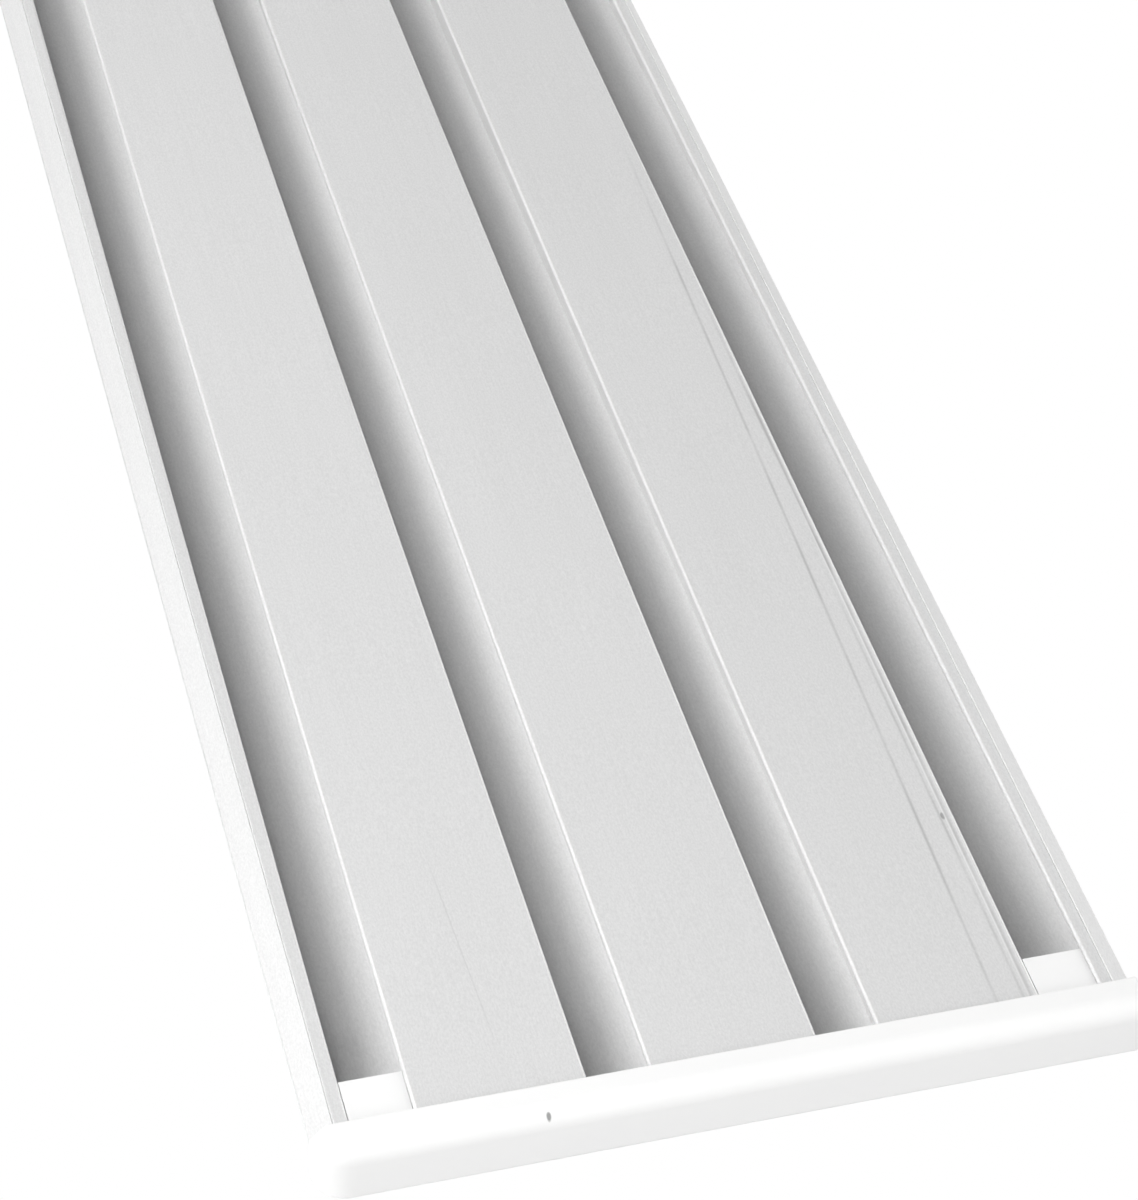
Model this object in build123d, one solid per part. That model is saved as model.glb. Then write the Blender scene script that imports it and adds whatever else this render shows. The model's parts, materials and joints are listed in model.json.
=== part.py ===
from build123d import *
import os
from math import atan2, cos, sin, tan

# A sixteen-foot springboard: a ribbed aluminium plank with a flat deck, closed by a plastic
# nosing at each end and hinged to its stand at the butt.
# +X is across the board, +Y runs from the tip to the butt, +Z is up, with the deck on top.
# The origin lies under the middle of the board, level with the soles of the hinge feet.
# All sizes are in millimetres.

# ---- overall sizes
BOARD_LENGTH = 4880.0          # over both nosings
BOARD_WIDTH = 500.0            # over the beads of the edge rails
TIP_THICKNESS = 40.0           # metal only, deck face to underside
MAIN_THICKNESS = 49.5
BUTT_THICKNESS = 45.0
TIP_TAPER_LENGTH = 1250.0      # from the tip end of the plank to full thickness
BUTT_TAPER_START = 1100.0      # from the butt end of the plank
BUTT_LAND_LENGTH = 260.0       # parallel stretch over the anchor hinges
TAPER_BLEND_RADIUS = 20000.0   # where two tapers meet

# ---- section of the plank
DECK_GAUGE = 4.0
WALL_GAUGE = 3.0               # ribs and side walls
PLATE_GAUGE = 5.0              # box plates and rail flanges
BOX_COUNT = 3
BOX_PITCH = 138.4
BOX_WIDTH = 101.8              # width of a box plate
BOX_OVERHANG = 11.0            # the plate stands out past the rib under it
PLATE_EDGE_RADIUS = 2.4        # nearly a full round
SIDE_INSET = 4.0               # the side wall stands back from the rail's bead
DECK_EDGE_RADIUS = 3.0

# ---- edge rail: its flat follows the underside, its bead runs level with the deck
RAIL_WIDTH = 23.1              # from its inner edge to the outside of the bead
RAIL_FLAT = 8.3
GROOVE_WIDTH = 1.2
GROOVE_DEPTH = 0.7
GROOVE_LIP = 0.2               # the facet starts this far above the flat
BEAD_CORNER_DEPTH = 29.5       # from the deck face down to the corner of facet and bead
BEAD_FACE = 4.0                # height of the bead's upright face
BEAD_RADIUS = 2.0
BEAD_BACK_RADIUS = 1.0

# ---- tread coating on the deck
TREAD_THICKNESS = 0.8
TREAD_EDGE_MARGIN = 4.0
TREAD_END_MARGIN = 42.0        # bare metal left for the nosing screws
TREAD_CUTOUT_MARGIN = 1.0      # round the anchor bolts' deck washers

# ---- nosings
NOSING_DEPTH = 24.0
NOSING_PROUD = 1.5             # below the underside of the plank
NOSING_CORNER_RADIUS = 20.0    # seen from above
NOSING_BEVEL_WIDTH = 11.0      # along each side of the underside, over the rails' facets
NOSING_FRONT_RADIUS = 12.0     # between the front and the underside
NOSING_DECK_RADIUS = 4.0       # between the front and the deck
NOSING_LIP_RADIUS = 1.2        # where the cap stands proud of the plank
NOSING_CUT_EASE = 1.0          # round the left end where a cap is cut off square
TONGUE_LENGTH = 30.0
TONGUE_RECESS = 1.5            # above the underside of the plank
TONGUE_CLEARANCE = 0.3
SCREW_RADIUS = 2.5
SCREW_HEAD_RADIUS = 5.0
SCREW_LENGTH = 20.0
SCREW_SPACING = 18.0
SCREW_HOLE_CLEARANCE = 0.25
SCREW_PILOT_CLEARANCE = 0.05
SCREW_RECESS_RADIUS = 1.6
SCREW_RECESS_DEPTH = 1.8

# ---- rubber channels where the board bears on its fulcrum
FULCRUM_FROM_BUTT = 1830.0     # middle of the fulcrum's travel
CHANNEL_LENGTH = 920.0
RUBBER_GAUGE = 3.0
RUBBER_LIP = 6.0               # height of the lip inside the rail's flange
RUBBER_REACH = 0.72            # share of the rail's facet that the rubber covers

# ---- anchor hinges
HINGE_BOLT_SPACING = 76.0
HINGE_BOLT_INSET = 64.0        # from the butt end of the plank to the first bolt
BOLT_RADIUS = 6.0
BOLT_HOLE_RADIUS = 6.5
BOLT_HEAD_RADIUS = 10.5
BOLT_HEAD_HEIGHT = 7.5
BOLT_THREAD_PAST_NUT = 4.0
BOLT_END_EASE = 1.0
HEX_EASE_SHARE = 0.12          # of a hexagon's radius, taken off its corners
DECK_WASHER_RADIUS = 19.0
DECK_WASHER_GAUGE = 3.0
DECK_WASHER_EASE = 1.2
NUT_WASHER_RADIUS = 12.0
NUT_WASHER_GAUGE = 2.5
WASHER_CLEARANCE = 0.4         # round a bolt or a pin
NUT_HEIGHT = 12.0
SLEEVE_RADIUS = 11.0
THREAD_CLEARANCE = 0.05

LEAF_WIDTH = 98.0
LEAF_LENGTH = 152.0
LEAF_GAUGE = 8.0
LEAF_CORNER_RADIUS = 12.0
EAR_GAUGE = 12.0
EAR_RADIUS = 21.0
EAR_GAP = 42.0                 # between the two ears of a leaf
AXIS_DROP = 32.0               # from the leaf's lower face to the pin
FOOT_RISE = 34.0               # from the top of the foot to the pin
FOOT_GAUGE = 10.0
FOOT_WIDTH = 110.0
FOOT_LENGTH = 130.0
FOOT_CORNER_RADIUS = 14.0
FOOT_BOLT_SPACING_X = 82.0
FOOT_BOLT_SPACING_Y = 98.0
FOOT_HOLE_RADIUS = 6.75
LUG_RADIUS = 21.0
LUG_SIDE_CLEARANCE = 0.5       # between the lug, its bush flanges and the ears
BUSH_GAUGE = 3.0
BUSH_FLANGE_RADIUS = 17.0
BUSH_FLANGE_GAUGE = 2.0
PIN_RADIUS = 9.5
RUNNING_CLEARANCE = 0.05
PIN_HEAD_RADIUS = 15.0
PIN_HEAD_HEIGHT = 6.0
PIN_TAIL = 9.0                 # past the far washer
PIN_END_EASE = 1.5
PIN_WASHER_RADIUS = 16.0
PIN_WASHER_GAUGE = 2.5
CLIP_GAUGE = 1.6
CLIP_RADIUS = 13.0
CLIP_GROOVE_DEPTH = 1.2
CLIP_MOUTH = 11.0

# ---- cutters
CUT_THROUGH = 4.0              # length of a drill, in thicknesses of what it drills
CUT_MARGIN = 1.0               # how far a cutter runs past what it cuts
TOLERANCE = 0.01

# ---- places that follow from the sizes above
HALF_WIDTH = BOARD_WIDTH / 2
PLANK_TIP = -BOARD_LENGTH / 2 + NOSING_DEPTH
PLANK_BUTT = BOARD_LENGTH / 2 - NOSING_DEPTH
UNDERSIDE_STATIONS = [         # (y, thickness) where the underside changes slope
    (PLANK_TIP + TIP_TAPER_LENGTH, MAIN_THICKNESS),
    (PLANK_BUTT - BUTT_TAPER_START, MAIN_THICKNESS),
    (PLANK_BUTT - BUTT_LAND_LENGTH, BUTT_THICKNESS),
]
AXIS_Z = FOOT_GAUGE + FOOT_RISE
BUTT_UNDERSIDE = AXIS_Z + AXIS_DROP + LEAF_GAUGE
DECK_TOP = BUTT_UNDERSIDE + BUTT_THICKNESS
DECK_UNDERSIDE = DECK_TOP - DECK_GAUGE
WALL_OUTER = HALF_WIDTH - SIDE_INSET
WALL_INNER = WALL_OUTER - WALL_GAUGE
RAIL_INNER = HALF_WIDTH - RAIL_WIDTH
FLAT_END = RAIL_INNER + RAIL_FLAT
RAIL_TOP_DEPTH = BEAD_CORNER_DEPTH - BEAD_FACE - SIDE_INSET
RIB_OFFSET = BOX_WIDTH / 2 - BOX_OVERHANG - WALL_GAUGE / 2
BOX_CENTRES = [(i - (BOX_COUNT - 1) / 2) * BOX_PITCH for i in range(BOX_COUNT)]
HINGE_CENTRES = {"left": BOX_CENTRES[0], "right": BOX_CENTRES[-1]}
HINGE_BOLTS_Y = [PLANK_BUTT - HINGE_BOLT_INSET, PLANK_BUTT - HINGE_BOLT_INSET - HINGE_BOLT_SPACING]
HINGE_Y = sum(HINGE_BOLTS_Y) / 2
FULCRUM_Y = PLANK_BUTT - FULCRUM_FROM_BUTT
FULCRUM_UNDERSIDE = DECK_TOP - MAIN_THICKNESS
TONGUE_WIDTH = RAIL_INNER - (BOX_CENTRES[-1] + BOX_WIDTH / 2) - 2 * TONGUE_CLEARANCE
TONGUE_CENTRE = (RAIL_INNER + BOX_CENTRES[-1] + BOX_WIDTH / 2) / 2


# ---- the underside line and what is drawn along it
def underside_path():
    """Side view of the underside: thin at the tip, full depth in the middle, thinner at the butt."""
    run_out = 60.0
    tip_slope = (MAIN_THICKNESS - TIP_THICKNESS) / TIP_TAPER_LENGTH
    stations = [
        (PLANK_TIP - run_out, TIP_THICKNESS - run_out * tip_slope),
        *UNDERSIDE_STATIONS,
        (PLANK_BUTT + run_out, BUTT_THICKNESS),
    ]
    points = [(0, y, DECK_TOP - thickness) for y, thickness in stations]
    return FilletPolyline(*points, radius=TAPER_BLEND_RADIUS)


def plank_space():
    """Everything between the plank's two ends and below the deck's underside."""
    depth = 2 * MAIN_THICKNESS
    return Pos(0, (PLANK_BUTT + PLANK_TIP) / 2, DECK_UNDERSIDE - depth / 2) * Box(
        2 * BOARD_WIDTH, PLANK_BUTT - PLANK_TIP, depth)


PATH = underside_path()
PLANK_SPACE = plank_space()


def along_underside(section):
    """Sweep a section along the underside. Its x is across the board, its y is up from the underside."""
    start = Plane(origin=PATH @ 0, x_dir=(1, 0, 0), z_dir=-(PATH % 0))
    return (sweep(start * section, path=PATH) & PLANK_SPACE).solids()[0]


def strip(x_low, x_high, y_low, y_high):
    """A rectangle given by its sides."""
    return Pos((x_low + x_high) / 2, (y_low + y_high) / 2) * Rectangle(x_high - x_low, y_high - y_low)


# ---- the plank
def deck_plate():
    width = 2 * WALL_OUTER
    plate = Pos(0, (PLANK_BUTT + PLANK_TIP) / 2, DECK_TOP - DECK_GAUGE / 2) * Box(
        width, PLANK_BUTT - PLANK_TIP, DECK_GAUGE)
    top_edges = plate.edges().filter_by(Axis.Y).group_by(Axis.Z)[-1]
    plate = fillet(top_edges, DECK_EDGE_RADIUS)
    for x, y in nosing_screw_places():
        plate -= Pos(x, y, DECK_TOP) * countersunk_shape(SCREW_HOLE_CLEARANCE)
    for x, y in hinge_bolt_places():
        plate -= Pos(x, y, DECK_TOP) * Cylinder(BOLT_HOLE_RADIUS, CUT_THROUGH * DECK_GAUGE)
    return plate


def box_plate(centre):
    half = BOX_WIDTH / 2
    section = strip(centre - half, centre + half, 0, PLATE_GAUGE)
    section = fillet(section.vertices(), PLATE_EDGE_RADIUS)
    plate = along_underside(section)
    for x, y in hinge_bolt_places():
        if abs(x - centre) < half:
            plate -= Pos(x, y, BUTT_UNDERSIDE) * Cylinder(BOLT_HOLE_RADIUS, CUT_THROUGH * PLATE_GAUGE)
    return plate


def rib(x):
    half = WALL_GAUGE / 2
    return along_underside(strip(x - half, x + half, PLATE_GAUGE, 2 * MAIN_THICKNESS))


def rail_section(y, thickness):
    """The right-hand rail cut across at y, where the plank is this thick."""
    underside = DECK_TOP - thickness
    corner = DECK_TOP - BEAD_CORNER_DEPTH
    facet_start = (FLAT_END + GROOVE_WIDTH, underside + GROOVE_LIP)
    slope = (corner - facet_start[1]) / (HALF_WIDTH - facet_start[0])
    inside_of_facet = facet_start[1] + slope * (WALL_INNER - facet_start[0]) + PLATE_GAUGE
    outline = Polyline(
        (RAIL_INNER, underside),
        (FLAT_END, underside),
        (FLAT_END + GROOVE_WIDTH / 2, underside + GROOVE_DEPTH),
        facet_start,
        (HALF_WIDTH, corner),
        (HALF_WIDTH, corner + BEAD_FACE),
        (WALL_OUTER, DECK_TOP - RAIL_TOP_DEPTH),
        (WALL_INNER, DECK_TOP - RAIL_TOP_DEPTH),
        (WALL_INNER, inside_of_facet),
        (FLAT_END + GROOVE_WIDTH, underside + PLATE_GAUGE),
        (RAIL_INNER, underside + PLATE_GAUGE),
        close=True,
    )
    section = make_face(outline)
    for x, z, radius in ((HALF_WIDTH, corner, BEAD_RADIUS),
                         (HALF_WIDTH, corner + BEAD_FACE, BEAD_BACK_RADIUS),
                         (RAIL_INNER, underside, PLATE_EDGE_RADIUS),
                         (RAIL_INNER, underside + PLATE_GAUGE, PLATE_EDGE_RADIUS)):
        section = fillet(section.vertices().sort_by_distance((x, z, 0))[0], radius)
    return Plane(origin=(0, y, 0), x_dir=(1, 0, 0), z_dir=(0, -1, 0)) * section


def edge_rail():
    """The right-hand rail: an inner flange, a facet that deepens with the plank, and a level bead."""
    stations = [(PLANK_TIP, TIP_THICKNESS), *UNDERSIDE_STATIONS, (PLANK_BUTT, BUTT_THICKNESS)]
    return loft([rail_section(y, thickness) for y, thickness in stations], ruled=True)


def side_wall():
    height = RAIL_TOP_DEPTH - DECK_GAUGE
    centre = ((WALL_INNER + WALL_OUTER) / 2, (PLANK_BUTT + PLANK_TIP) / 2, DECK_UNDERSIDE - height / 2)
    return Pos(*centre) * Box(WALL_GAUGE, PLANK_BUTT - PLANK_TIP, height)


def tread():
    width = 2 * (WALL_OUTER - TREAD_EDGE_MARGIN)
    length = PLANK_BUTT - PLANK_TIP - 2 * TREAD_END_MARGIN
    sheet = Pos(0, (PLANK_BUTT + PLANK_TIP) / 2, DECK_TOP + TREAD_THICKNESS / 2) * Box(
        width, length, TREAD_THICKNESS)
    for x, y in hinge_bolt_places():
        sheet -= Pos(x, y, DECK_TOP) * Cylinder(
            DECK_WASHER_RADIUS + TREAD_CUTOUT_MARGIN, CUT_THROUGH * TREAD_THICKNESS)
    return sheet


# ---- nosings
def nosing(end_y, thickness, outward, cut_square=False):
    """A cap over one end of the plank, with a tongue in each outer channel.

    end_y is the plank's end, thickness the plank's there, outward -1 at the tip and +1 at the butt.
    A cap that is cut square keeps its moulded corner on the right, and its left end is a plain cut.
    """
    underside = DECK_TOP - thickness
    bottom = underside - NOSING_PROUD
    height = DECK_TOP + TREAD_THICKNESS - bottom
    left_end = -HALF_WIDTH - (2 * NOSING_CORNER_RADIUS if cut_square else 0)
    middle_x = (HALF_WIDTH + left_end) / 2
    outline = Pos(middle_x, -NOSING_DEPTH / 2) * Rectangle(HALF_WIDTH - left_end, NOSING_DEPTH)
    outline = fillet(outline.vertices().group_by(Axis.Y)[0], NOSING_CORNER_RADIUS)
    body = extrude(outline, amount=height)
    body = fillet(rim_edges(body, 0), NOSING_FRONT_RADIUS)
    body = fillet(rim_edges(body, height), NOSING_DECK_RADIUS)
    for side in (1,) if cut_square else (-1, 1):
        body -= bevel_wedge(side, DECK_TOP - BEAD_CORNER_DEPTH - bottom)
    if cut_square:
        body -= Pos(-BOARD_WIDTH, 0) * Box(BOARD_WIDTH, BOARD_WIDTH, BOARD_WIDTH)
        cut_rim = body.edges().filter_by_position(Axis.X, -HALF_WIDTH - TOLERANCE, -HALF_WIDTH + TOLERANCE)
        body = fillet([edge for edge in cut_rim if edge.center().Y < -TOLERANCE], NOSING_CUT_EASE)
    lip = body.edges().filter_by_position(Axis.Y, -TOLERANCE, TOLERANCE).group_by(Axis.Z)[0]
    body = fillet(lip, NOSING_LIP_RADIUS)
    body = Pos(0, end_y, bottom) * (body if outward < 0 else mirror(body, about=Plane.XZ))
    tongue_bottom = underside + TONGUE_RECESS
    tongue_height = DECK_UNDERSIDE - tongue_bottom
    for side in (-1, 1):
        tongue = Box(TONGUE_WIDTH, TONGUE_LENGTH, tongue_height)
        middle = (end_y - outward * TONGUE_LENGTH / 2, tongue_bottom + tongue_height / 2)
        body += Pos(side * TONGUE_CENTRE, *middle) * tongue
    for x, y in nosing_screw_places():
        if abs(y - end_y) < TONGUE_LENGTH:
            body -= Pos(x, y, DECK_TOP) * countersunk_shape(SCREW_PILOT_CLEARANCE)
    return body


def rim_edges(body, z):
    """The edges round the front and sides of a nosing's face at height z."""
    face_edges = body.edges().filter_by_position(Axis.Z, z - TOLERANCE, z + TOLERANCE)
    return [edge for edge in face_edges if edge.center().Y < -TOLERANCE]


def bevel_wedge(side, rise):
    """What a nosing loses along its side, so that it slopes with the rail's facet."""
    start = HALF_WIDTH - NOSING_BEVEL_WIDTH
    outline = Polyline((side * start, 0), (side * HALF_WIDTH, rise), (side * BOARD_WIDTH, rise),
                       (side * BOARD_WIDTH, -rise), (side * start, -rise), close=True)
    section = Plane(origin=(0, CUT_MARGIN, 0), x_dir=(1, 0, 0), z_dir=(0, -1, 0)) * make_face(outline)
    return extrude(section, amount=2 * NOSING_DEPTH)


def nosing_screw_places():
    ends = (PLANK_TIP + TONGUE_LENGTH / 2, PLANK_BUTT - TONGUE_LENGTH / 2)
    return [
        (side * TONGUE_CENTRE + shift, y)
        for y in ends
        for side in (-1, 1)
        for shift in (-SCREW_SPACING / 2, SCREW_SPACING / 2)
    ]


def countersunk_shape(clearance):
    """A countersunk screw's envelope, its head's face at z = 0 and its point down."""
    head = SCREW_HEAD_RADIUS + clearance
    shank = SCREW_RADIUS + clearance
    cone = Pos(0, 0, -(head - shank) / 2) * Cone(shank, head, head - shank)
    rod = Pos(0, 0, -(SCREW_LENGTH + clearance) / 2) * Cylinder(shank, SCREW_LENGTH + clearance)
    return cone + rod


def nosing_screw():
    screw = countersunk_shape(0)
    recess = extrude(RegularPolygon(SCREW_RECESS_RADIUS, 6), amount=SCREW_RECESS_DEPTH)
    return screw - Pos(0, 0, -SCREW_RECESS_DEPTH) * recess


def nosing_screws(at_tip):
    places = [(x, y) for x, y in nosing_screw_places() if (y < 0) == at_tip]
    return [Pos(x, y, DECK_TOP) * nosing_screw() for x, y in places]


# ---- rubber channel under the right-hand rail
def rubber_channel():
    facet_start = (FLAT_END + GROOVE_WIDTH, GROOVE_LIP)
    facet_end = (HALF_WIDTH, MAIN_THICKNESS - BEAD_CORNER_DEPTH)
    slope = atan2(facet_end[1] - facet_start[1], facet_end[0] - facet_start[0])
    away = (sin(slope) * RUBBER_GAUGE, -cos(slope) * RUBBER_GAUGE)
    stop = tuple(a + (b - a) * RUBBER_REACH for a, b in zip(facet_start, facet_end))
    outline = Polyline(
        (RAIL_INNER, 0),
        (FLAT_END, 0),
        facet_start,
        stop,
        (stop[0] + away[0], stop[1] + away[1]),
        (FLAT_END + RUBBER_GAUGE * tan(slope / 2), -RUBBER_GAUGE),
        (RAIL_INNER - RUBBER_GAUGE, -RUBBER_GAUGE),
        (RAIL_INNER - RUBBER_GAUGE, RUBBER_LIP),
        (RAIL_INNER, RUBBER_LIP),
        close=True,
    )
    plane = Plane(origin=(0, FULCRUM_Y - CHANNEL_LENGTH / 2, FULCRUM_UNDERSIDE), x_dir=(1, 0, 0),
                  z_dir=(0, -1, 0))
    return extrude(plane * make_face(outline), amount=-CHANNEL_LENGTH)


# ---- anchor hinges
def hinge_bolt_places():
    return [(x, y) for x in HINGE_CENTRES.values() for y in HINGE_BOLTS_Y]


def upright_ear(x_low, x_high, radius, reach, sign):
    """An ear rounded about the pin axis, reaching up (sign +1) or down (sign -1) from it."""
    disc = Circle(radius)
    web = Pos(0, sign * reach / 2) * Rectangle(2 * radius, reach)
    plane = Plane(origin=(x_low, HINGE_Y, AXIS_Z), x_dir=(0, 1, 0), z_dir=(1, 0, 0))
    return extrude(plane * (disc + web), amount=x_high - x_low)


def across(x_low, x_high, radius):
    """A round bar along the pin axis between two X positions."""
    return Pos((x_low + x_high) / 2, HINGE_Y, AXIS_Z) * Rot(0, 90, 0) * Cylinder(radius, x_high - x_low)


def hinge_leaf(centre):
    leaf = Pos(centre, HINGE_Y, BUTT_UNDERSIDE - LEAF_GAUGE) * extrude(
        RectangleRounded(LEAF_WIDTH, LEAF_LENGTH, LEAF_CORNER_RADIUS), amount=LEAF_GAUGE)
    for side in (-1, 1):
        near = centre + side * EAR_GAP / 2
        far = near + side * EAR_GAUGE
        leaf += upright_ear(min(near, far), max(near, far), EAR_RADIUS, AXIS_DROP, 1)
    leaf -= across(centre - LEAF_WIDTH, centre + LEAF_WIDTH, PIN_RADIUS + RUNNING_CLEARANCE)
    for y in HINGE_BOLTS_Y:
        leaf -= Pos(centre, y, BUTT_UNDERSIDE) * Cylinder(BOLT_HOLE_RADIUS, CUT_THROUGH * LEAF_GAUGE)
    return leaf


def hinge_foot(centre):
    foot = Pos(centre, HINGE_Y, 0) * extrude(
        RectangleRounded(FOOT_WIDTH, FOOT_LENGTH, FOOT_CORNER_RADIUS), amount=FOOT_GAUGE)
    half = EAR_GAP / 2 - LUG_SIDE_CLEARANCE - BUSH_FLANGE_GAUGE
    foot += upright_ear(centre - half, centre + half, LUG_RADIUS, FOOT_RISE, -1)
    foot -= across(centre - FOOT_WIDTH, centre + FOOT_WIDTH, PIN_RADIUS + BUSH_GAUGE)
    for dx in (-FOOT_BOLT_SPACING_X / 2, FOOT_BOLT_SPACING_X / 2):
        for dy in (-FOOT_BOLT_SPACING_Y / 2, FOOT_BOLT_SPACING_Y / 2):
            foot -= Pos(centre + dx, HINGE_Y + dy, 0) * Cylinder(
                FOOT_HOLE_RADIUS, CUT_THROUGH * FOOT_GAUGE)
    return foot


def hinge_bushes(centre):
    """Two flanged bushes that meet in the middle of the foot's lug."""
    half = EAR_GAP / 2 - LUG_SIDE_CLEARANCE
    bore = across(centre - FOOT_WIDTH, centre + FOOT_WIDTH, PIN_RADIUS + RUNNING_CLEARANCE)
    bushes = []
    for side in (-1, 1):
        outer = centre + side * half
        inner_flange = outer - side * BUSH_FLANGE_GAUGE
        flange = across(min(outer, inner_flange), max(outer, inner_flange), BUSH_FLANGE_RADIUS)
        tube = across(min(centre, inner_flange), max(centre, inner_flange), PIN_RADIUS + BUSH_GAUGE)
        bushes.append(flange + tube - bore)
    return bushes


def pin_stations(centre):
    """X positions along a pin: head's outer face, head's inner face, washer's two faces, tail."""
    shoulder = EAR_GAP / 2 + EAR_GAUGE
    washer = centre + shoulder
    return (centre - shoulder - PIN_HEAD_HEIGHT, centre - shoulder, washer,
            washer + PIN_WASHER_GAUGE, washer + PIN_WASHER_GAUGE + PIN_TAIL)


def hinge_pin(centre):
    head_out, head_in, _, washer_end, tail = pin_stations(centre)
    pin = across(head_in, tail, PIN_RADIUS)
    pin = chamfer(pin.edges().filter_by(GeomType.CIRCLE).sort_by(Axis.X)[-1], PIN_END_EASE)
    pin += across(head_out, head_in, PIN_HEAD_RADIUS)
    pin = fillet(pin.edges().filter_by(GeomType.CIRCLE).sort_by(Axis.X)[0], PIN_END_EASE)
    outside = across(washer_end, washer_end + CLIP_GAUGE, 2 * PIN_RADIUS)
    core = across(washer_end, washer_end + CLIP_GAUGE, PIN_RADIUS - CLIP_GROOVE_DEPTH)
    return pin - (outside - core)


def pin_washer(centre):
    _, _, face, end, _ = pin_stations(centre)
    bore = across(face - CUT_MARGIN, end + CUT_MARGIN, PIN_RADIUS + WASHER_CLEARANCE)
    return across(face, end, PIN_WASHER_RADIUS) - bore


def pin_clip(centre):
    """An open ring in the pin's groove, with its mouth down."""
    _, _, _, face, _ = pin_stations(centre)
    clip = across(face, face + CLIP_GAUGE, CLIP_RADIUS)
    clip -= across(face - CUT_MARGIN, face + CLIP_GAUGE + CUT_MARGIN, PIN_RADIUS - CLIP_GROOVE_DEPTH)
    mouth = Pos(face, HINGE_Y, AXIS_Z - CLIP_RADIUS) * Box(
        CUT_THROUGH * CLIP_GAUGE, CLIP_MOUTH, 2 * CLIP_RADIUS)
    return clip - mouth


def hexagon(radius, height):
    """A hexagonal prism with its corners eased, standing on z = 0."""
    prism = extrude(RegularPolygon(radius, 6), amount=height)
    ease = HEX_EASE_SHARE * radius
    cone = Pos(0, 0, height / 2) * Cylinder(radius - ease / 2, height)
    cone = chamfer(cone.edges().group_by(Axis.Z)[-1], ease)
    wide = Cylinder(2 * radius, height - ease)
    return prism & (cone + Pos(0, 0, (height - ease) / 2) * wide)


def nut_washer_top():
    return BUTT_UNDERSIDE - LEAF_GAUGE


def anchor_bolt(x, y):
    seat = DECK_TOP + DECK_WASHER_GAUGE
    end = nut_washer_top() - NUT_WASHER_GAUGE - NUT_HEIGHT - BOLT_THREAD_PAST_NUT
    shank = Pos(0, 0, (end + seat) / 2) * Cylinder(BOLT_RADIUS, seat - end)
    shank = chamfer(shank.edges().group_by(Axis.Z)[0], BOLT_END_EASE)
    return Pos(x, y, 0) * (shank + Pos(0, 0, seat) * hexagon(BOLT_HEAD_RADIUS, BOLT_HEAD_HEIGHT))


def ring(outer, inner, z_low, z_high):
    height = z_high - z_low
    tube = Cylinder(outer, height) - Cylinder(inner, 2 * height)
    return Pos(0, 0, (z_low + z_high) / 2) * tube


def deck_washer(x, y):
    body = ring(DECK_WASHER_RADIUS, BOLT_RADIUS + WASHER_CLEARANCE, DECK_TOP, DECK_TOP + DECK_WASHER_GAUGE)
    rim = body.edges().filter_by(GeomType.CIRCLE).group_by(Axis.Z)[-1].sort_by(SortBy.RADIUS)[-1]
    return Pos(x, y, 0) * chamfer(rim, DECK_WASHER_EASE)


def nut_washer(x, y):
    top = nut_washer_top()
    bottom = top - NUT_WASHER_GAUGE
    return Pos(x, y, 0) * ring(NUT_WASHER_RADIUS, BOLT_RADIUS + WASHER_CLEARANCE, bottom, top)


def anchor_nut(x, y):
    top = nut_washer_top() - NUT_WASHER_GAUGE
    nut = Pos(0, 0, top) * Rot(180, 0, 0) * hexagon(BOLT_HEAD_RADIUS, NUT_HEIGHT)
    thread = Cylinder(BOLT_RADIUS + THREAD_CLEARANCE, CUT_THROUGH * NUT_HEIGHT)
    return Pos(x, y, 0) * (nut - Pos(0, 0, top) * thread)


def spacer_sleeve(x, y):
    low = BUTT_UNDERSIDE + PLATE_GAUGE
    return Pos(x, y, 0) * ring(SLEEVE_RADIUS, BOLT_HOLE_RADIUS, low, DECK_UNDERSIDE)


# ---- every node
def build_nodes():
    nodes = {"deck_plate": deck_plate(), "tread_coating": tread()}
    for side, sign in (("left", -1), ("right", 1)):
        for name, piece in (("edge_rail", edge_rail()), ("side_wall", side_wall()),
                            ("fulcrum_rubber", rubber_channel())):
            nodes[f"{side}_{name}"] = piece if sign > 0 else mirror(piece, about=Plane.YZ)
    for name, centre in zip(("left", "centre", "right"), BOX_CENTRES):
        nodes[f"{name}_box_plate"] = box_plate(centre)
        nodes[f"{name}_box_left_rib"] = rib(centre - RIB_OFFSET)
        nodes[f"{name}_box_right_rib"] = rib(centre + RIB_OFFSET)
    nodes["tip_nosing"] = nosing(PLANK_TIP, TIP_THICKNESS, -1, cut_square=True)
    nodes["butt_nosing"] = nosing(PLANK_BUTT, BUTT_THICKNESS, 1)
    nodes["tip_nosing_screws"] = Compound(children=nosing_screws(True))
    nodes["butt_nosing_screws"] = Compound(children=nosing_screws(False))
    for side, centre in HINGE_CENTRES.items():
        nodes[f"{side}_hinge_leaf"] = hinge_leaf(centre)
        nodes[f"{side}_hinge_foot"] = hinge_foot(centre)
        nodes[f"{side}_hinge_bushes"] = Compound(children=hinge_bushes(centre))
        nodes[f"{side}_hinge_pin"] = hinge_pin(centre)
        nodes[f"{side}_pin_washer"] = pin_washer(centre)
        nodes[f"{side}_pin_clip"] = pin_clip(centre)
    fixings = {"anchor_bolts": anchor_bolt, "anchor_deck_washers": deck_washer,
               "anchor_nut_washers": nut_washer, "anchor_locknuts": anchor_nut,
               "anchor_spacer_sleeves": spacer_sleeve}
    for name, make in fixings.items():
        nodes[name] = Compound(children=[make(x, y) for x, y in hinge_bolt_places()])
    return nodes


os.makedirs("parts", exist_ok=True)
for node, shape in build_nodes().items():
    export_step(shape, f"parts/{node}.step")
    print(node, round(shape.volume / 1000, 2), "cm3")
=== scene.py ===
"""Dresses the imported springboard: its finishes, fine surface detail, light and camera."""

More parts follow.
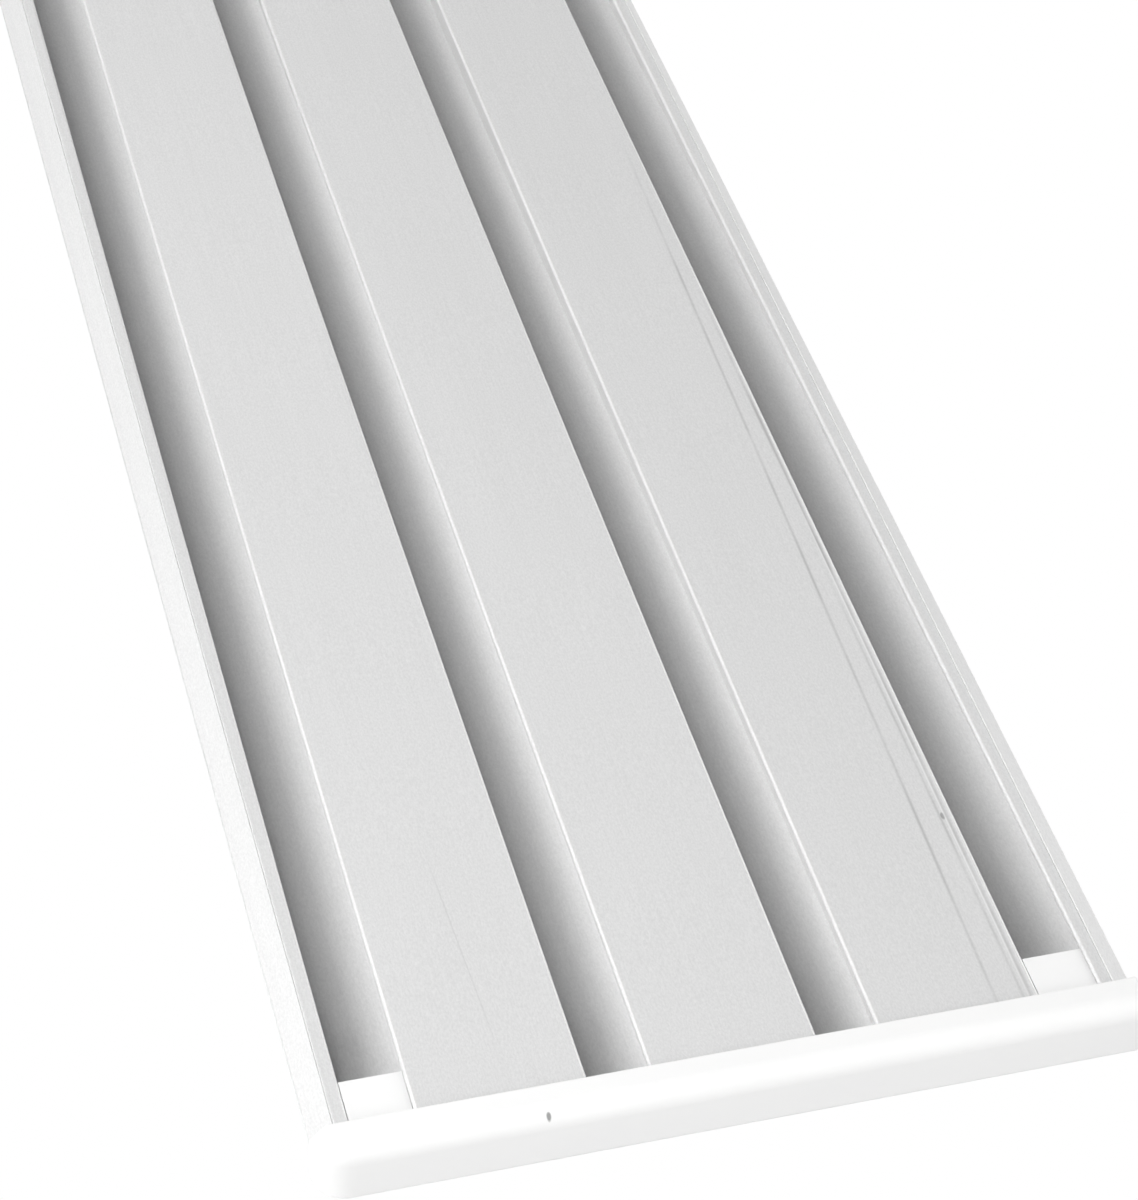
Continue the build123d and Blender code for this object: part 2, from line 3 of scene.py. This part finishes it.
import json
import logging
import math
from dataclasses import dataclass
from enum import Enum
from typing import Any

import bpy
from mathutils import Matrix, Vector

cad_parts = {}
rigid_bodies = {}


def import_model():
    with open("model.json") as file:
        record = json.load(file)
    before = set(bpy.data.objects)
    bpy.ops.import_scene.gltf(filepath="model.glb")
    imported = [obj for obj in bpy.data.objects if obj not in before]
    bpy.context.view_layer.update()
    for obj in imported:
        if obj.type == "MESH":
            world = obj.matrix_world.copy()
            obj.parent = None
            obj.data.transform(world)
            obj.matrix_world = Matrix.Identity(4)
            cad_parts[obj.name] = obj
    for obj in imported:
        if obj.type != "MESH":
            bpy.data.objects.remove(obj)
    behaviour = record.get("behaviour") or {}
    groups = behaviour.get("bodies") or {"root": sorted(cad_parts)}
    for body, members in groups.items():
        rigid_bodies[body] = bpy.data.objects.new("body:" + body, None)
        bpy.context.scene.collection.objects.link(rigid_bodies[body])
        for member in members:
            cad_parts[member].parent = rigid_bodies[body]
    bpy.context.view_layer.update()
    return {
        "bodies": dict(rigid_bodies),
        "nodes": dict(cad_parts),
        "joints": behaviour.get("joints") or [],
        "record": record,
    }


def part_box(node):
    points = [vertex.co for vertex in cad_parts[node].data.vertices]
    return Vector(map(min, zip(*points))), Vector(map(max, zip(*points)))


LOG = logging.getLogger("springboard")
Colour = tuple[float, float, float, float]


def grey(level: float) -> Colour:
    """A neutral colour of one level."""
    return (level, level, level, 1.0)


class Socket:
    """A value socket in a material, which takes part in plain arithmetic."""

    def __init__(self, recipe: "Recipe", output: bpy.types.NodeSocket) -> None:
        """Keeps the output and the recipe that it belongs to."""
        self.recipe = recipe
        self.output = output

    def _math(self, operation: str, *values: Any, clamp: bool = False) -> "Socket":
        """One Math node on these values."""
        settings = {"operation": operation, "use_clamp": clamp}
        return self.recipe.node("ShaderNodeMath", settings, list(values))

    def __add__(self, other: Any) -> "Socket":
        """self + other."""
        return self._math("ADD", self, other)

    def __radd__(self, other: Any) -> "Socket":
        """other + self."""
        return self._math("ADD", other, self)

    def __sub__(self, other: Any) -> "Socket":
        """self - other."""
        return self._math("SUBTRACT", self, other)

    def __rsub__(self, other: Any) -> "Socket":
        """other - self."""
        return self._math("SUBTRACT", other, self)

    def __mul__(self, other: Any) -> "Socket":
        """self * other."""
        return self._math("MULTIPLY", self, other)

    def __rmul__(self, other: Any) -> "Socket":
        """other * self."""
        return self._math("MULTIPLY", other, self)

    def __truediv__(self, other: Any) -> "Socket":
        """self / other."""
        return self._math("DIVIDE", self, other)

    def __rtruediv__(self, other: Any) -> "Socket":
        """other / self."""
        return self._math("DIVIDE", other, self)

    def __abs__(self) -> "Socket":
        """The size of self without its sign."""
        return self._math("ABSOLUTE", self)

    def below(self, limit: float, soft: float) -> "Socket":
        """A mask of where self is under a limit.

        Args:
            limit: the value at which the mask is 0.5.
            soft: the span of values over which it eases from 1 to 0.

        Returns:
            1 under the limit and 0 over it.
        """
        return ((limit - self) / soft + 0.5).clamped()

    def clamped(self) -> "Socket":
        """self held between 0 and 1."""
        return self._math("ADD", self, 0.0, clamp=True)

    def sine(self) -> "Socket":
        """The sine of self, in radians."""
        return self._math("SINE", self)


@dataclass(frozen=True)
class Spot:
    """A place on the board, in metres: x across it, y along it."""

    x: float
    y: float


class Recipe:
    """A procedural material, built node by node."""

    # the Mix node's sockets for colours, which share their names with those for numbers
    MIX_FACTOR = 0
    MIX_FIRST = 6
    MIX_SECOND = 7
    MIX_RESULT = 2

    def __init__(self, name: str) -> None:
        """Starts a material with its Principled shader and output."""
        self.material = bpy.data.materials.new(name)
        self.material.use_nodes = True
        self.tree = self.material.node_tree
        self.tree.nodes.clear()
        self.shader = self.tree.nodes.new("ShaderNodeBsdfPrincipled")
        output = self.tree.nodes.new("ShaderNodeOutputMaterial")
        self.tree.links.new(self.shader.outputs["BSDF"], output.inputs["Surface"])
        self.place = self.node("ShaderNodeTexCoord", output="Object")

    def node(self, kind: str, settings: dict[str, Any] | None = None,
             inputs: dict[str, Any] | list[Any] | None = None, output: str | int = 0) -> Socket:
        """Adds a node.

        Args:
            kind: Blender's type name of the node.
            settings: attributes set first, such as the operation of a Math node.
            inputs: values or links, by socket name, or in order when a list.
            output: the output that is returned.

        Returns:
            The chosen output.
        """
        made = self.tree.nodes.new(kind)
        for name, value in (settings or {}).items():
            setattr(made, name, value)
        pairs = enumerate(inputs) if isinstance(inputs, list) else (inputs or {}).items()
        for name, value in pairs:
            self.feed(made.inputs[name], value)
        return Socket(self, made.outputs[output])

    def feed(self, target: bpy.types.NodeSocket, value: Any) -> None:
        """Links a socket to the target, or sets the target to a constant."""
        if isinstance(value, Socket):
            self.tree.links.new(value.output, target)
        else:
            target.default_value = value

    def set(self, **values: Any) -> None:
        """Feeds the Principled shader; Base_Color stands for the socket Base Color."""
        for name, value in values.items():
            self.feed(self.shader.inputs[name.replace("_", " ")], value)

    def axis(self, letter: str) -> Socket:
        """One coordinate of the surface, in metres in the board's frame."""
        return self.node("ShaderNodeSeparateXYZ", inputs=[self.place], output=letter)

    def stretched(self, scale: tuple[float, float, float]) -> Socket:
        """The surface position, scaled along each axis."""
        values = {"Vector": self.place, "Scale": scale}
        return self.node("ShaderNodeMapping", {"vector_type": "POINT"}, values)

    def noise(self, scale: tuple[float, float, float], detail: float = 2.0, rough: float = 0.5) -> Socket:
        """Soft random variation over the surface.

        Args:
            scale: about how many cycles it makes to the metre along each axis.
            detail: how many finer layers are added.
            rough: how strong each finer layer is beside the last.

        Returns:
            Values of about 0 to 1, centred on 0.5.
        """
        values = {"Vector": self.stretched(scale), "Scale": 1.0, "Detail": detail, "Roughness": rough}
        return self.node("ShaderNodeTexNoise", {"noise_dimensions": "3D"}, values)

    def grains(self, per_metre: float) -> Socket:
        """Distance to the nearest of many scattered grains, about 0 to 1."""
        values = {"Vector": self.place, "Scale": per_metre}
        return self.node("ShaderNodeTexVoronoi", {"feature": "F1"}, values, output="Distance")

    def mark(self, start: Spot, end: Spot, width: float) -> Socket:
        """A straight scratch.

        Args:
            start: the end of the scratch nearer the tip.
            end: its other end.
            width: in metres.

        Returns:
            A mask that is 1 on the scratch and 0 off it.
        """
        x, y = self.axis("X"), self.axis("Y")
        slope = (end.x - start.x) / (end.y - start.y)
        off_line = abs(x - (y - start.y) * slope - start.x)
        middle, half = (start.y + end.y) / 2, (end.y - start.y) / 2
        return off_line.below(width / 2, width) * abs(y - middle).below(half, half / 2)

    def speck(self, centre: Spot, size: float, stretch: float) -> Socket:
        """A small spot.

        Args:
            centre: where it is.
            size: its width in metres.
            stretch: how many times as long along the board it is as wide.

        Returns:
            A mask that is 1 on the spot and 0 off it.
        """
        x, y = self.axis("X") - centre.x, (self.axis("Y") - centre.y) * (1 / stretch)
        return (x * x + y * y).below((size / 2) ** 2, (size / 2) ** 2)

    def mix(self, factor: Any, first: Any, second: Any) -> Socket:
        """A colour between two.

        Args:
            factor: 0 for the first colour and 1 for the second.
            first: a colour.
            second: a colour.

        Returns:
            The mixed colour.
        """
        values = {self.MIX_FACTOR: factor, self.MIX_FIRST: first, self.MIX_SECOND: second}
        return self.node("ShaderNodeMix", {"data_type": "RGBA"}, values, output=self.MIX_RESULT)

    def bump(self, height: Socket, distance: float, strength: float, under: Socket | None = None) -> Socket:
        """Fine relief.

        Args:
            height: the shape of the relief, 0 to 1.
            distance: what a height of 1 stands for, in metres.
            strength: how much of it shows.
            under: the normal of coarser relief that this one lies on.

        Returns:
            The bent normal.
        """
        values: dict[str, Any] = {"Height": height, "Distance": distance, "Strength": strength}
        if under is not None:
            values["Normal"] = under
        return self.node("ShaderNodeBump", inputs=values)


class Slot(Enum):
    """The record's material slots."""

    PLANK = "plank"
    TREAD = "tread"
    NOSING = "nosing"
    RUBBER = "rubber"
    CASTING = "casting"
    STAINLESS = "stainless"
    NYLON = "nylon"


@dataclass(frozen=True)
class Scratch:
    """A straight scratch on the plank's underside, in metres; each "from_tip" is from its tip end."""

    start_x: float
    start_from_tip: float
    end_x: float
    end_from_tip: float
    width: float
    depth: float                             # how strongly it shows, 0 to 1

    def on(self, recipe: Recipe, tip: float) -> Socket:
        """Draws the scratch.

        Args:
            recipe: the material that it is part of.
            tip: y of the plank's tip end.

        Returns:
            A mask as strong as the scratch is deep.
        """
        start = Spot(self.start_x, tip + self.start_from_tip)
        end = Spot(self.end_x, tip + self.end_from_tip)
        return recipe.mark(start, end, self.width) * self.depth


@dataclass(frozen=True)
class ExtrudedAluminium:
    """Satin aluminium, with the fine lines of its die and the marks of handling near the tip."""

    tip: float                               # y of the plank's tip end
    colour: Colour = grey(0.72)
    stain: Colour = grey(0.33)
    polish: Colour = grey(0.90)
    unevenness: float = 0.12                 # of the colour, up and down
    roughness: float = 0.46
    metallic: float = 0.15
    broken_lines: tuple[Scratch, ...] = (
        Scratch(-0.1628, 0.0, -0.1790, 0.80, 0.0015, 0.58),
        Scratch(-0.1842, 0.0, -0.1854, 0.62, 0.0018, 0.75),
        Scratch(-0.1795, 0.0, -0.1812, 0.34, 0.0014, 0.55),
    )
    short_scratch: Scratch = Scratch(0.1327, 0.047, 0.1374, 0.175, 0.0007, 0.20)
    burnished_lines: tuple[Scratch, ...] = (
        Scratch(-0.1828, 0.0, -0.1840, 0.45, 0.0008, 0.7),
        Scratch(-0.1866, 0.0, -0.1874, 0.75, 0.0006, 0.5),
    )
    speck_x: float = -0.1821
    speck_from_tip: float = 0.150
    speck_size: float = 0.0026
    speck_stretch: float = 2.2
    speck_depth: float = 0.85

    def dark_marks(self, recipe: Recipe) -> Socket:
        """The long scratch, the lines rubbed beside it, a short scratch and a speck, as one mask."""
        breaks = (recipe.noise((40, 16, 1), 3.0) * 2.6 - 0.6).clamped()
        long_scratch, rubbed, second = (scratch.on(recipe, self.tip) for scratch in self.broken_lines)
        speck_place = Spot(self.speck_x, self.tip + self.speck_from_tip)
        speck = recipe.speck(speck_place, self.speck_size, self.speck_stretch) * self.speck_depth
        broken = (long_scratch + rubbed + second) * breaks
        return (broken + self.short_scratch.on(recipe, self.tip) + speck).clamped()

    def bright_marks(self, recipe: Recipe) -> Socket:
        """The burnished lines beside the rubbed ones, as one mask."""
        first, second = (line.on(recipe, self.tip) for line in self.burnished_lines)
        return (first + second).clamped()

    def make(self, name: str) -> bpy.types.Material:
        """Builds the material."""
        recipe = Recipe(name)
        die_lines = recipe.noise((700, 0.9, 700), 4.0, 0.6)
        grain = recipe.noise((900, 420, 900), 3.0, 0.65)
        cloud = recipe.noise((7, 1.6, 7), 2.0)
        shade = (die_lines - 0.5) * 0.4 + (grain - 0.5) * 1.4 + (cloud - 0.5) * 0.25
        level = self.colour[1]
        dull, bright = grey(level * (1 - self.unevenness)), grey(level * (1 + self.unevenness))
        metal = recipe.mix((shade + 0.5).clamped(), dull, bright)
        marked = recipe.mix(self.dark_marks(recipe), metal, self.stain)
        recipe.set(
            Base_Color=recipe.mix(self.bright_marks(recipe), marked, self.polish),
            Roughness=self.roughness + (die_lines - 0.5) * 0.16 + (grain - 0.5) * 0.10,
            Metallic=self.metallic,
            Normal=recipe.bump(grain, 0.00002, 0.25, recipe.bump(die_lines, 0.00004, 0.4)))
        return recipe.material


@dataclass(frozen=True)
class GritCoating:
    """Non-skid coating: hard grit in paint, worn a little smoother down the middle."""

    colour: Colour = (0.50, 0.555, 0.585, 1.0)
    grit: Colour = (0.68, 0.72, 0.74, 1.0)
    worn: Colour = (0.60, 0.63, 0.64, 1.0)
    grains_per_metre: float = 750.0
    worn_half_width: float = 0.15
    worn_edge: float = 0.12                  # the width over which the wear fades

    def make(self, name: str) -> bpy.types.Material:
        """Builds the material."""
        recipe = Recipe(name)
        height = 1 - recipe.grains(self.grains_per_metre)
        fine = recipe.noise((2200, 2200, 2200), 3.0, 0.7)
        patches = recipe.noise((5, 2.2, 5), 3.0)
        crest = (height * 1.4 - 0.75).clamped()
        paint = recipe.mix(crest, self.colour, self.grit)
        middle = abs(recipe.axis("X")).below(self.worn_half_width, self.worn_edge)
        walked_on = middle * (patches * 1.6 - 0.4).clamped()
        recipe.set(
            Base_Color=recipe.mix(walked_on * 0.55, paint, self.worn),
            Roughness=0.82 + (fine - 0.5) * 0.2,
            Normal=recipe.bump(height + fine * 0.5, 0.0006, 0.9))
        return recipe.material


@dataclass(frozen=True)
class MouldedPlastic:
    """White moulded plastic with a soft mould texture and faint scuffs."""

    tip: float                               # y of the cap's front face at the tip
    colour: Colour = (0.87, 0.87, 0.865, 1.0)
    scuff: Colour = (0.66, 0.66, 0.65, 1.0)
    dirt: Colour = grey(0.16)
    roughness: float = 0.64
    speck_x: float = 0.1157
    speck_from_tip: float = 0.0035
    speck_size: float = 0.0026
    speck_stretch: float = 1.4
    speck_depth: float = 0.8

    def make(self, name: str) -> bpy.types.Material:
        """Builds the material."""
        recipe = Recipe(name)
        texture = recipe.noise((1500, 1500, 1500), 2.0, 0.5)
        flow = recipe.noise((14, 40, 40), 3.0)
        scratches = recipe.noise((26, 900, 300), 4.0, 0.7)
        scuffed = ((scratches - 0.66) * 7).clamped() * 0.22
        plastic = recipe.mix(flow, grey(self.colour[1] * 0.975), self.colour)
        speck_place = Spot(self.speck_x, self.tip + self.speck_from_tip)
        speck = recipe.speck(speck_place, self.speck_size, self.speck_stretch) * self.speck_depth
        recipe.set(
            Base_Color=recipe.mix(speck, recipe.mix(scuffed, plastic, self.scuff), self.dirt),
            Roughness=self.roughness + (texture - 0.5) * 0.16 + scuffed * 0.4,
            Normal=recipe.bump(texture, 0.00005, 0.3, recipe.bump(flow, 0.0004, 0.25)))
        return recipe.material


@dataclass(frozen=True)
class MouldedRubber:
    """Black rubber with fine ribs along it and dust in them."""

    colour: Colour = grey(0.022)
    dust: Colour = (0.16, 0.155, 0.145, 1.0)
    rib_pitch: float = 0.0024

    def make(self, name: str) -> bpy.types.Material:
        """Builds the material."""
        recipe = Recipe(name)
        ribs = (recipe.axis("X") * (2 * math.pi / self.rib_pitch)).sine() * 0.5 + 0.5
        dusty = recipe.noise((90, 30, 90), 4.0, 0.65)
        film = ((dusty - 0.45) * 3).clamped() * (1 - ribs) * 0.5
        recipe.set(
            Base_Color=recipe.mix(film, self.colour, self.dust),
            Roughness=0.66 + (dusty - 0.5) * 0.3,
            Normal=recipe.bump(ribs, 0.00035, 0.8, recipe.bump(dusty, 0.0002, 0.3)))
        return recipe.material


@dataclass(frozen=True)
class SandCasting:
    """Cast aluminium: pitted and grainy, brighter where it has been handled."""

    colour: Colour = (0.50, 0.505, 0.51, 1.0)
    pits: Colour = grey(0.27)
    rubbed: Colour = grey(0.66)

    def make(self, name: str) -> bpy.types.Material:
        """Builds the material."""
        recipe = Recipe(name)
        sand = recipe.noise((1100, 1100, 1100), 4.0, 0.65)
        lumps = recipe.noise((120, 120, 120), 3.0)
        pitting = recipe.grains(420).below(0.16, 0.1)
        skin = recipe.mix((lumps * 1.5 - 0.35).clamped(), self.colour, self.rubbed)
        recipe.set(
            Base_Color=recipe.mix(pitting * 0.6, skin, self.pits),
            Roughness=0.55 + (sand - 0.5) * 0.3,
            Metallic=0.75,
            Normal=recipe.bump(sand - pitting, 0.0003, 0.7, recipe.bump(lumps, 0.0006, 0.4)))
        return recipe.material


@dataclass(frozen=True)
class TurnedStainless:
    """Bright stainless steel with turning rings and a few dull stains."""

    colour: Colour = (0.63, 0.62, 0.60, 1.0)
    stain: Colour = (0.42, 0.39, 0.36, 1.0)

    def make(self, name: str) -> bpy.types.Material:
        """Builds the material."""
        recipe = Recipe(name)
        lines = recipe.noise((2600, 2600, 140), 2.0, 0.6)
        stains = ((recipe.noise((70, 70, 70), 3.0) - 0.52) * 5).clamped() * 0.45
        recipe.set(
            Base_Color=recipe.mix(stains, self.colour, self.stain),
            Roughness=0.27 + (lines - 0.5) * 0.2 + stains * 0.3,
            Metallic=1.0,
            Normal=recipe.bump(lines, 0.00003, 0.35))
        return recipe.material


@dataclass(frozen=True)
class Nylon:
    """Natural nylon, ivory and waxy, with machining rings."""

    colour: Colour = (0.80, 0.78, 0.70, 1.0)
    shade: Colour = (0.70, 0.67, 0.58, 1.0)

    def make(self, name: str) -> bpy.types.Material:
        """Builds the material."""
        recipe = Recipe(name)
        rings = recipe.noise((1800, 500, 500), 2.0)
        recipe.set(
            Base_Color=recipe.mix(recipe.noise((150, 150, 150), 3.0), self.shade, self.colour),
            Roughness=0.40 + (rings - 0.5) * 0.2,
            Normal=recipe.bump(rings, 0.00005, 0.4))
        return recipe.material


@dataclass(frozen=True)
class PaleFloor:
    """The studio floor: a plain pale sweep with a trace of mottling."""

    colour: Colour = grey(0.80)
    mottled: Colour = grey(0.78)
    glow: float = 0.75

    def make(self, name: str) -> bpy.types.Material:
        """Builds the material."""
        recipe = Recipe(name)
        mottle = recipe.noise((0.7, 0.7, 0.7), 3.0)
        recipe.set(
            Base_Color=recipe.mix(mottle, self.mottled, self.colour),
            Roughness=0.9,
            Emission_Color=self.colour,
            Emission_Strength=self.glow)
        return recipe.material


@dataclass(frozen=True)
class SoftBox:
    """A soft rectangular lamp aimed at the board, hidden from the camera."""

    name: str
    direction: tuple[float, float, float]   # from the board towards the lamp
    watts: float
    width: float = 1.0
    length: float = 6.0                      # along the board
    distance: float = 3.0

    def hang(self, target: Vector) -> None:
        """Makes the lamp.

        Args:
            target: the point on the board that it faces.
        """
        data = bpy.data.lights.new(self.name, "AREA")
        data.shape = "RECTANGLE"
        data.size, data.size_y = self.width, self.length
        data.energy = self.watts
        back = Vector(self.direction).normalized()
        sideways = Vector((0, 1, 0)).cross(back)
        sideways = sideways.normalized() if sideways.length > 0.01 else Vector((1, 0, 0))
        turn = Matrix((sideways, back.cross(sideways), back)).transposed().to_4x4()
        lamp = bpy.data.objects.new(self.name, data)
        lamp.matrix_world = Matrix.Translation(target + back * self.distance) @ turn
        lamp.visible_camera = False
        bpy.context.scene.collection.objects.link(lamp)


def around(angle: float) -> tuple[float, float, float]:
    """A direction square to the board's length.

    Args:
        angle: degrees from straight to the right, +X, towards straight below.

    Returns:
        The direction, from the board towards the lamp.
    """
    turn = math.radians(angle)
    return (math.cos(turn), 0.0, -math.sin(turn))


@dataclass
class Studio:
    """The white surround, the soft lamps and the floor far below the board."""

    floor_drop: float = 3.0
    floor_size: float = 240.0
    fill: float = 0.16                       # the surround's strength as a lamp
    lamps_from_tip: float = 0.64             # where the underside's lamps are aimed
    lamps: tuple[SoftBox, ...] = (
        SoftBox("key_below_right", around(45), 92.0),
        SoftBox("steep_below_right", around(65), 36.0),
        SoftBox("edge_right", around(5), 33.0),
        SoftBox("edge_left", around(165), 94.0),
        SoftBox("tip_front", (0.0, -1.0, -0.15), 34.0, 2.0, 2.0),
    )
    deck_lamps: tuple[SoftBox, ...] = (
        SoftBox("deck_key", (0.55, -0.35, 1.0), 110.0, 2.5, 7.0, 4.0),
        SoftBox("deck_fill", (-0.8, 0.4, 0.8), 57.0, 2.5, 7.0, 4.0),
        SoftBox("butt_back", (0.0, 1.0, 0.1), 25.0, 2.0, 2.0, 3.5),
    )

    def build(self, tip: Vector) -> None:
        """Makes the world, the floor and the lamps.

        Args:
            tip: middle of the underside at the tip end of the board.
        """
        self.surround()
        self.lay_floor()
        near_tip = tip + Vector((0.0, self.lamps_from_tip, 0.0))
        for lamp in self.lamps:
            lamp.hang(near_tip)
        for lamp in self.deck_lamps:
            lamp.hang(Vector((0.0, 0.0, tip.z)))

    def surround(self) -> None:
        """Makes a surround that looks white but only fills the shadows a little."""
        world = bpy.data.worlds.new("white_surround")
        bpy.context.scene.world = world
        world.use_nodes = True
        tree = world.node_tree
        background = tree.nodes["Background"]
        background.inputs["Color"].default_value = (1, 1, 1, 1)
        ray = tree.nodes.new("ShaderNodeLightPath")
        strength = tree.nodes.new("ShaderNodeMix")
        strength.inputs["A"].default_value = self.fill
        strength.inputs["B"].default_value = 1.0
        tree.links.new(ray.outputs["Is Camera Ray"], strength.inputs["Factor"])
        tree.links.new(strength.outputs["Result"], background.inputs["Strength"])

    def lay_floor(self) -> None:
        """Makes the floor, which the camera sees but which throws no light on the board."""
        mesh = bpy.data.meshes.new("studio_floor")
        half = self.floor_size / 2
        corners = [(-half, -half, 0), (half, -half, 0), (half, half, 0), (-half, half, 0)]
        mesh.from_pydata(corners, [], [tuple(range(len(corners)))])
        mesh.materials.append(PaleFloor().make("pale_floor"))
        floor = bpy.data.objects.new("studio_floor", mesh)
        floor.location.z = -self.floor_drop
        floor.visible_diffuse = False
        floor.visible_glossy = False
        bpy.context.scene.collection.objects.link(floor)


@dataclass
class Viewpoint:
    """The camera below and in front of the tip, looking up along the underside."""

    to_the_right: float = 0.4976
    before_the_tip: float = 1.1864
    below_the_underside: float = 1.5427
    turned: float = math.radians(-17.511)
    raised: float = math.radians(42.565)
    rolled: float = math.radians(3.444)
    lens_mm: float = 104.161
    sensor_mm: float = 36.0
    nearest: float = 0.05
    farthest: float = 100.0

    def build(self, tip: Vector) -> None:
        """Places the camera.

        Args:
            tip: middle of the underside at the tip end of the board, under the nosing's front.
        """
        data = bpy.data.cameras.new("camera")
        data.lens = self.lens_mm
        data.sensor_fit = "AUTO"
        data.sensor_width = self.sensor_mm
        data.clip_start, data.clip_end = self.nearest, self.farthest
        camera = bpy.data.objects.new("camera", data)
        bpy.context.scene.collection.objects.link(camera)
        level = math.cos(self.raised)
        ahead, aside = math.cos(self.turned) * level, math.sin(self.turned) * level
        forward = Vector((aside, ahead, math.sin(self.raised)))
        right = forward.cross(Vector((0, 0, -1))).normalized()
        up = right.cross(forward)
        right_rolled = right * math.cos(self.rolled) + up * math.sin(self.rolled)
        up_rolled = up * math.cos(self.rolled) - right * math.sin(self.rolled)
        axes = Matrix((right_rolled, up_rolled, -forward)).transposed()
        offset = Vector((self.to_the_right, -self.before_the_tip, -self.below_the_underside))
        camera.matrix_world = Matrix.Translation(tip + offset) @ axes.to_4x4()
        bpy.context.scene.camera = camera


@dataclass
class Board:
    """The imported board: where its tip is, and the finish that each material slot has."""

    nosing_proud: float = 0.0015             # how far the tip nosing stands below the plank

    def tip(self) -> Vector:
        """The middle of the plank's underside, carried on to the nosing's front."""
        nosing_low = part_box("tip_nosing")[0]
        return Vector((0.0, nosing_low.y, nosing_low.z + self.nosing_proud))

    def materials(self) -> dict[str, bpy.types.Material]:
        """Builds the board's materials.

        Returns:
            Each material by the name of its slot.
        """
        finishes = {
            Slot.PLANK: ExtrudedAluminium(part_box("deck_plate")[0].y),
            Slot.TREAD: GritCoating(),
            Slot.NOSING: MouldedPlastic(self.tip().y),
            Slot.RUBBER: MouldedRubber(),
            Slot.CASTING: SandCasting(),
            Slot.STAINLESS: TurnedStainless(),
            Slot.NYLON: Nylon(),
        }
        return {slot.value: finish.make(slot.value) for slot, finish in finishes.items()}

    def dress(self, frame: dict[str, Any]) -> None:
        """Gives every piece its finish.

        Args:
            frame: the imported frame, with its record and its nodes.
        """
        materials = self.materials()
        for subpart in frame["record"]["subparts"]:
            mesh = frame["nodes"][subpart["node"]].data
            mesh.materials.clear()
            mesh.materials.append(materials[subpart["material_slot"]])
            LOG.info("dressed %s as %s", subpart["node"], subpart["material_slot"])


def main() -> None:
    """Dresses the board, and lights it."""
    logging.basicConfig(level=logging.INFO, format="%(message)s")
    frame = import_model()
    board = Board()
    board.dress(frame)
    Studio().build(board.tip())
    Viewpoint().build(board.tip())
    bpy.context.scene.view_settings.view_transform = "Standard"


if __name__ == "__main__":
    main()
